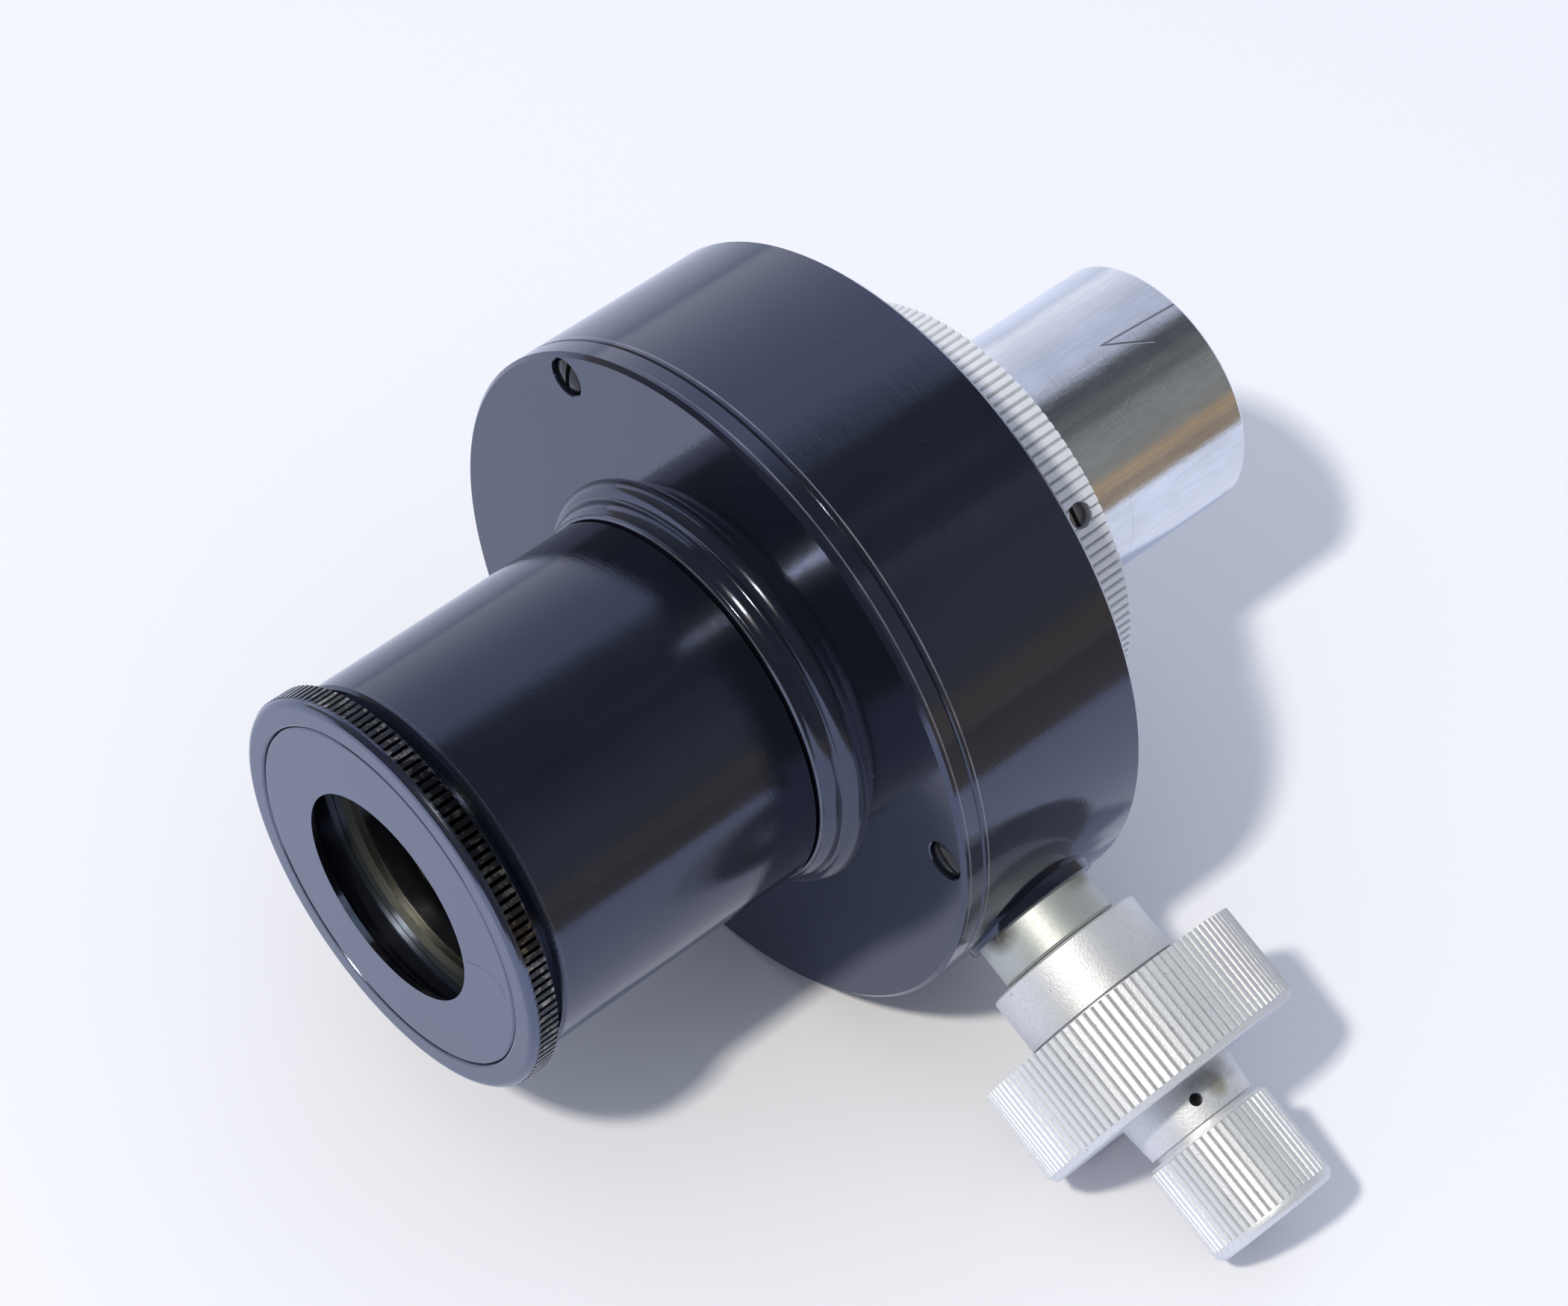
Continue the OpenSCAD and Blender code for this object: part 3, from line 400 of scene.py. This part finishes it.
# polished chrome of the slip-in tube, with the scratches of use; marks are (station, degrees round)
polish = {
    "colour": (0.74, 0.755, 0.775),
    "roughness": 0.045,
    "radius": 11.6,
    "streak": (0.48, 0.49, 0.50),
    "seam": (0.3, 0.31, 0.34), "seamStation": 27.1,
    "scratch": (0.16, 0.17, 0.18), "scratchMarks": [(40.44, 79.6), (32.35, 82.3), (36.45, 71.0)],
    "nick": (0.9, 0.9, 0.88),
    "nickMarks": [[(34.0, 62.0), (34.9, 63.5)], [(30.4, 55.0), (31.2, 57.5)], [(37.2, 44.0), (38.3, 45.0)]],
    "bump": (0.1, 0.0001),
}


def polishedTube(name):
    f = Finish(name).place()
    reach = polish["radius"]
    arc = f.turnAngle * reach

    def unrolled(points):
        return [(station, math.radians(degrees) * reach) for station, degrees in points]

    lines = f.noise(f.wrapped(2.0, 26.0), 1.0, 4, 0.6)
    cloud = f.noise(f.wrapped(11.6, 0.8), 0.22, 4, 0.55)
    rub = f.noise(f.wrapped(34.0, 0.9), 1.0, 3, 0.6)
    smear = f.noise(f.wrapped(16.0, 0.35), 1.0, 4, 0.6).ramp(0.45, 0.75)
    flecks = f.noise(f.wrapped(22.0, 2.6), 1.0, 4, 0.65).ramp(0.62, 0.8)
    streak = f.noise(f.wrapped(40.0, 0.25), 1.0, 4, 0.65).ramp(0.4, 0.75)
    seam = f.along.band(polish["seamStation"], 0.02, 0.05) * (1.0 - f.turnAngle.ramp(0.2, 0.9))
    scratch = f.line(f.along, arc, unrolled(polish["scratchMarks"]), 0.03, 0.09)
    nick = None
    for points in polish["nickMarks"]:
        found = f.line(f.along, arc, unrolled(points), 0.02, 0.08)
        nick = found if nick is None else nick.most(found)
    tone = f.mixed(cloud.ramp(0.35, 0.7), polish["colour"], shaded(polish["colour"], 0.88))
    tone = f.mixed(streak * 0.45, tone, polish["streak"])
    tone = f.mixed(seam * 0.35, tone, polish["seam"])
    tone = f.mixed(scratch * 0.75, tone, polish["scratch"])
    tone = f.mixed(nick * 0.5, tone, polish["nick"])
    rough = polish["roughness"] + cloud * 0.06 + smear * 0.12 + flecks * 0.12 + scratch * 0.3 + nick * 0.2
    f.set({"Base Color": tone, "Roughness": rough, "Metallic": 1.0})
    return f.bumped(lines * 0.6 + rub * 0.6 + flecks * 0.8 - scratch * 6.0 - nick * 3.0, *polish["bump"])


dress(polishedTube("tubeChrome"), "tube")


# plain turned metals, and the nodes made of each
metals = {
    "bushSteel": {"nodes": ["spindle_bush"], "look": {
        "colour": (0.62, 0.65, 0.63), "roughness": 0.42, "grain": 3.5, "about": "screw", "metallic": 0.65,
        "patches": [(6.0, 157, 30.9, 0.4, 1.2, 1.6, (0.10, 0.085, 0.06), 0.9),
                   (6.0, 60, 31.2, 0.1, 0.8, 3.0, (0.2, 0.18, 0.13), 0.6)]}},
    "turnedBrass": {"nodes": ["slide_bed", "carriage", "carriage_nut", "tube_retainer", "cell_key"],
                    "look": {"colour": (0.62, 0.46, 0.2), "roughness": 0.3}},
    "turnedSteel": {"nodes": ["spindle", "thrust_collar", "bed_screws", "keeper_strips", "strip_screws"],
                    "look": {"colour": (0.45, 0.46, 0.47), "roughness": 0.28}},
    "setScrewSteel": {"nodes": ["clamp_ring_screw"],
                      "look": {"colour": (0.34, 0.34, 0.35), "roughness": 0.22}},
    "cellAluminium": {"nodes": ["lens_cell"], "look": {"colour": (0.42, 0.45, 0.42), "roughness": 0.35}},
}


def plainMetal(name, colour, roughness, grain=2.5, about="optical", metallic=1.0, patches=()):
    f = Finish(name).place(about)
    g = f.noise(f.where, grain, 4, 0.6)
    ground = f.noise(f.wrapped(3.0, 14.0), 1.0, 3, 0.6)
    tone = f.patched(f.mixed(g, colour, shaded(colour, 0.8)), patches)
    f.set({"Base Color": tone, "Roughness": roughness + g * 0.12 + ground * 0.06, "Metallic": metallic})
    return f.bumped(g + ground, 0.12, 0.0001)


for n, settings in metals.items():
    dress(plainMetal(n, **settings["look"]), *settings["nodes"])


# dull black inside the instrument, and the black oxide of the small screws, glossy with oil
blacks = {
    "dullBlack": {"low": (0.008, 0.008, 0.009), "high": (0.02, 0.02, 0.022), "roughness": 0.42,
                  "rougher": 0.2, "grain": 3.0, "gloss": 1.5, "bump": 0.1},
    "blackedSteel": {"low": (0.012, 0.012, 0.014), "high": (0.03, 0.03, 0.033), "roughness": 0.05,
                     "rougher": 0.06, "grain": 3.5, "gloss": 1.3, "bump": 0.15},
}


def blackMetal(name):
    s = blacks[name]
    f = Finish(name).place()
    g = f.noise(f.where, s["grain"], 3, 0.6)
    f.set({"Base Color": f.mixed(g, s["low"], s["high"]),
           "Roughness": s["roughness"] + g * s["rougher"], "IOR": s["gloss"]})
    return f.bumped(g, s["bump"], 0.0001)


dull = blackMetal("dullBlack")
dress(dull, "cell_retainer", "lens_spacer", "lens_retainer", "reticle_mount", "field_stop")
dress(blackMetal("blackedSteel"), "cover_screws", "knob_set_screw")


# clear glass: its tint, and the thickness of its coating in nanometres
glass = {
    "eye_lens": {"name": "lensGlass_eye_lens", "tint": (0.95, 0.98, 0.96), "coating": 88.0},
    "field_lens": {"name": "lensGlass_field_lens", "tint": (0.95, 0.98, 0.96), "coating": 88.0},
    "reticle_plate": {"name": "plateGlass_reticle_plate", "tint": (0.95, 0.98, 0.97), "coating": 0.0},
    "hairline_plate": {"name": "plateGlass_hairline_plate", "tint": (0.95, 0.98, 0.97), "coating": 0.0},
}


def clearGlass(name, tint, coating):
    f = Finish(name).place()
    g = f.noise(f.where, 0.3, 2)
    f.set({"Base Color": f.mixed(g, tint, shaded(tint, 0.97)), "Roughness": 0.0, "IOR": 1.52,
           "Transmission Weight": 1.0, "Thin Film Thickness": coating, "Thin Film IOR": 1.38})
    return f


for n, settings in glass.items():
    dress(clearGlass(**settings), n)
print("finishes done")


def put(piece, name, body, finish):
    piece.name = piece.data.name = name
    piece.data.materials.append(finish.material)
    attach(piece, body)
    return piece


# the collar between barrel and cover, in millimetres: radius, and height over the cover's face
collarForm = {
    "face": -28.9,
    "vertices": 180,
    "bore": 14.47,
    "foot": [(19.35, 0.0), (19.1, 0.05), (18.95, 0.16), (18.88, 0.3)],
    "outerBead": {"centre": (17.65, 0.35), "radius": 1.2, "turn": (0, 78), "steps": 9},
    "hollow": [(17.86, 1.55), (17.79, 1.64)],
    "innerBead": {"centre": (16.13, 1.68), "radius": 1.6, "turn": (3, 52), "steps": 7},
    "rim": [(17.1, 2.99), (17.06, 3.1), (16.83, 3.25)],
    "merge": 0.002,
    "sharp": 32,             # degrees between two faces from which their edge stays sharp
}


def makeCollar(s):
    def bead(b):
        middle, level = b["centre"]
        low, high = b["turn"]
        angles = [math.radians(low + (high - low) * i / b["steps"]) for i in range(b["steps"] + 1)]
        return [(middle + b["radius"] * math.cos(a), level + b["radius"] * math.sin(a)) for a in angles]

    profile = (s["foot"] + bead(s["outerBead"]) + s["hollow"] + bead(s["innerBead"]) + s["rim"]
               + [(s["bore"], s["rim"][-1][1]), (s["bore"], 0.0)])
    bpy.ops.object.select_all(action="DESELECT")
    bpy.ops.mesh.primitive_circle_add(vertices=s["vertices"], radius=s["bore"] / 1000, fill_type="NOTHING",
                                      location=(0, s["face"] / 1000, 0), rotation=(math.pi / 2, 0, 0))
    bpy.ops.object.transform_apply(location=True, rotation=True, scale=True)
    bpy.ops.object.mode_set(mode="EDIT")
    bpy.ops.mesh.select_all(action="SELECT")
    radius, height = s["bore"], 0.0
    for nextRadius, nextHeight in profile:
        rise = (0, (height - nextHeight) / 1000, 0)
        bpy.ops.mesh.extrude_region_move(TRANSFORM_OT_translate={"value": rise})
        k = nextRadius / radius
        bpy.ops.transform.resize(value=(k, 1, k), center_override=(0, (s["face"] - nextHeight) / 1000, 0))
        radius, height = nextRadius, nextHeight
    bpy.ops.mesh.select_all(action="SELECT")
    bpy.ops.mesh.remove_doubles(threshold=s["merge"] / 1000)
    bpy.ops.mesh.normals_make_consistent(inside=False)
    bpy.ops.object.mode_set(mode="OBJECT")
    bpy.ops.object.shade_smooth_by_angle(angle=math.radians(s["sharp"]))
    piece = put(bpy.context.object, "collar_turned", "housing", finishes["barrel_collar"])
    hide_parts("barrel_collar")


makeCollar(collarForm)
print("collar done")


# engraved lines in metres: the moving cross on the hairline glass, the fixed scale on the reticle glass
engraving = {
    "width": 0.00003, "depth": 0.000012,
    "crossLength": 0.0176,
    "scaleLength": 0.0100, "ticks": 11, "longEach": 5,
    "short": 0.0007, "long": 0.0013,
}


# each bar is its middle across and up from the glass's own, then its width and height
def crossBars(s):
    return [(0, 0, s["width"], s["crossLength"]), (0, 0, s["crossLength"], s["width"])]


def scaleBars(s):
    bars = [(0, 0, s["scaleLength"], s["width"])]
    step = s["scaleLength"] / (s["ticks"] - 1)
    for i in range(s["ticks"]):
        tick = s["long"] if i % s["longEach"] == 0 else s["short"]
        bars.append((i * step - s["scaleLength"] / 2, 0, s["width"], tick))
    return bars


def makeLines(name, node, bars, body):
    low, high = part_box(node)
    centre = ((low[0] + high[0]) / 2, low[1], (low[2] + high[2]) / 2)
    bpy.ops.object.select_all(action="DESELECT")
    drawn = []
    for x, z, dx, dz in bars:
        bpy.ops.mesh.primitive_cube_add(size=1, location=(centre[0] + x, centre[1], centre[2] + z))
        bpy.context.object.scale = (dx, engraving["depth"], dz)
        bpy.ops.object.transform_apply(location=True, rotation=True, scale=True)
        drawn.append(bpy.context.object)
    for o in drawn:
        o.select_set(True)
    bpy.ops.object.join()
    bpy.ops.object.mode_set(mode="EDIT")
    bpy.ops.mesh.select_all(action="SELECT")
    bpy.ops.transform.rotate(value=-layout["dip"], orient_axis="Y", center_override=centre)
    bpy.ops.object.mode_set(mode="OBJECT")
    put(bpy.context.object, name, body, dull)


makeLines("hairline_cross", "hairline_plate", crossBars(engraving), "carriage")
makeLines("fixed_scale", "reticle_plate", scaleBars(engraving), "housing")
print("engraved lines done")


# white paper that curves up into a bright wall behind the left side, a dark room on the right;
# directions and heights in degrees, heights over the floor
stageSetup = {
    "floorSize": 6,
    "paper": (0.84, 0.855, 0.965),
    "paperSeen": (0.89, 0.865, 0.865),       # the same paper as the camera sees it
    "paperGlow": (0.90, 0.94, 1.06),
    "backdrop": (0.89, 0.90, 0.97),
    "table": (0.36, 0.28, 0.20),
    "tableTurn": 30, "tableStart": (0.15, 0.162),      # metres from the middle, that way
    "room": [(0.0, (0.36, 0.30, 0.24)), (0.08, (0.34, 0.30, 0.25)), (0.15, (0.27, 0.27, 0.26)),
             (0.33, (0.25, 0.265, 0.28)), (0.47, (0.16, 0.175, 0.19)), (0.61, (0.09, 0.10, 0.115)),
             (1.0, (0.11, 0.12, 0.135))],
    # things in the dark room: (direction, half width, height, half height, colour)
    "things": [(35.0, 12.0, 4.0, 4.0, (0.45, 0.34, 0.23)), (60.0, 2.0, 44.0, 14.0, (0.20, 0.20, 0.20)),
               (44.0, 1.5, 30.0, 16.0, (0.36, 0.35, 0.33)), (100.0, 3.0, 52.0, 5.0, (0.34, 0.31, 0.27))],
    "thingEdge": (2.0, 3.0),
    "front": (0.11, 0.11, 0.12),
    "frontCentre": 290, "frontHalf": 60.0, "frontFade": 30.0, "frontTop": (40.0, 65.0),
    "wall": (0.64, 0.69, 0.88),
    "wallCentre": 143, "wallHalf": 44.0, "wallFade": 6.0, "wallTop": (57.0, 62.0),
    "wallFoot": (1.02, 1.06, 1.22), "wallFootTop": (4.0, 40.0),
    "ceiling": (0.60, 0.68, 0.84),
    "ceilingShare": 0.45, "ceilingFull": (30.0, 50.0),
    # soft light round the lamp: direction, height, reach, colour
    "glow": (282.7, 54.7, 16.0, (3.4, 2.8, 1.6)),
}


def makeFloor(s):
    bpy.ops.object.select_all(action="DESELECT")
    bpy.ops.mesh.primitive_plane_add(size=s["floorSize"], location=(0, 0, layout["floor"]))
    floor = bpy.context.object
    floor.name = "floor"
    f = Finish("floorPaper")
    # the sheet ends on the right, outside the picture, where reflections show the dark table
    x, y, z = f.split(f.node("ShaderNodeTexCoord").outputs["Object"])
    turn = math.radians(s["tableTurn"])
    beyond = (x * math.cos(turn) + y * math.sin(turn)).ramp(*s["tableStart"])
    around = f.mixed(beyond, s["paper"], s["table"])
    f.set({"Base Color": f.mixed(f.ray("Is Camera Ray"), around, s["paperSeen"]),
           "Roughness": 0.9, "Specular IOR Level": 0.0})
    floor.data.materials.append(f.material)


def makeWorld(s):
    world = bpy.data.worlds.new("world")
    bpy.context.scene.world = world
    world.use_nodes = True
    w = Shading(world.node_tree)
    x, y, z = w.split(w.node("ShaderNodeTexCoord").outputs["Generated"])
    height = z.arcSine() * math.degrees(1)

    # 1 within so many degrees of a direction, 0 beyond the soft edge
    def facing(degrees, half, soft):
        centre = math.radians(degrees)
        onward = x * math.cos(centre) + y * math.sin(centre)
        away = abs((y * math.cos(centre) - x * math.sin(centre)).angleFrom(onward)) * math.degrees(1)
        return (1.0 - (away - half) / soft).clamped()

    sky = w.graded((height / 90.0).clamped(), s["room"])
    sideEdge, topEdge = s["thingEdge"]
    for degrees, half, level, tall, colour in s["things"]:
        sky = w.mixed(facing(degrees, half, sideEdge) * height.band(level, tall, topEdge), sky, colour)
    front = facing(s["frontCentre"], s["frontHalf"], s["frontFade"]) * (1.0 - height.ramp(*s["frontTop"]))
    sky = w.mixed(front, sky, s["front"])
    wall = facing(s["wallCentre"], s["wallHalf"], s["wallFade"]) * (1.0 - height.ramp(*s["wallTop"]))
    sky = w.mixed(wall, sky, w.mixed(1.0 - height.ramp(*s["wallFootTop"]), s["wall"], s["wallFoot"]))
    # the ceiling lights the scene but stays out of the reflections
    share = s["ceilingShare"]
    glossy = w.ray("Is Glossy Ray")
    overhead = share + (1.0 - share) * height.ramp(*s["ceilingFull"])
    sky = w.mixed(overhead * (1.0 - glossy), sky, s["ceiling"])
    # the lamp's own glow shows in reflections only
    degrees, level, reach, colour = s["glow"]
    turn, rise = math.radians(degrees), math.radians(level)
    onward = x * (math.cos(turn) * math.cos(rise)) + y * (math.sin(turn) * math.cos(rise))
    near = (onward + z * math.sin(rise)).ramp(math.cos(math.radians(reach)), 1.0)
    sky = w.mixed(near * near * glossy, sky, colour)
    sky = w.mixed(1.0 - height.ramp(-1.0, 0.0), sky, s["paperGlow"])
    # past the floor's edge the camera sees plain pale paper
    sky = w.mixed(w.ray("Is Camera Ray"), sky, s["backdrop"])
    background = world.node_tree.nodes["Background"]
    w.put(background.inputs["Color"], sky)
    background.inputs["Strength"].default_value = 1.0


lamps = {
    "key": {"place": (0.20, -0.89, 1.29), "size": (0.10, 0.10), "power": 15.5,
            "colour": (1.0, 0.972, 0.895)},
}


def makeLamp(name, s):
    data = bpy.data.lights.new(name, "AREA")
    data.shape = "RECTANGLE"
    data.size, data.size_y = s["size"]
    data.energy, data.color = s["power"], s["colour"]
    lamp = bpy.data.objects.new(name, data)
    bpy.context.scene.collection.objects.link(lamp)
    lamp.location = s["place"]
    lamp.rotation_mode = "QUATERNION"
    lamp.rotation_quaternion = (-Vector(s["place"])).to_track_quat("-Z", "Y")


makeFloor(stageSetup)
makeWorld(stageSetup)
for n, settings in lamps.items():
    makeLamp(n, settings)
bpy.context.scene.view_settings.view_transform = "Standard"
print("stage done")
